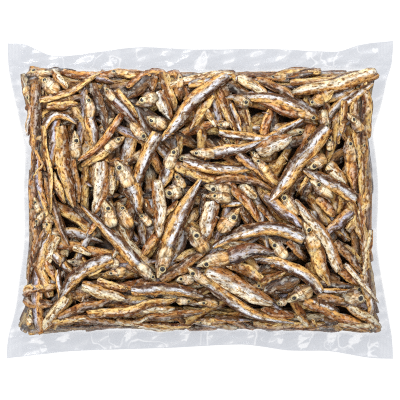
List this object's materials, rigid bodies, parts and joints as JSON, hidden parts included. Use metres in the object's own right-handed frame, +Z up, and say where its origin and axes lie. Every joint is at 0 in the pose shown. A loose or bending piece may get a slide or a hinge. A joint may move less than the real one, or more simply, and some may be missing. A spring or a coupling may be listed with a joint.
{
  "type": "bag of dried anchovies",
  "caption": "Clear heat-sealed pillow bag packed full of dried anchovies, lying flat on its back; the dry fish show through the film and press it out.",
  "frame": {"origin": "on the surface that the bag lies on, under the middle of its outline", "axes": "+Z up out of the shown side, +X along the two heat seals, +Y from the near seal to the far one"},
  "size_m": [0.2947, 0.2426, 0.0491],
  "materials": {
    "clear_film": "clear glossy film over silver and brown dried fish",
    "dried_fish": "dry wrinkled fish skin, silver and brown, with a dull sheen"
  },
  "bodies": {
    "root": {"filled_bag": "clear_film"}
  },
  "joints": []
}
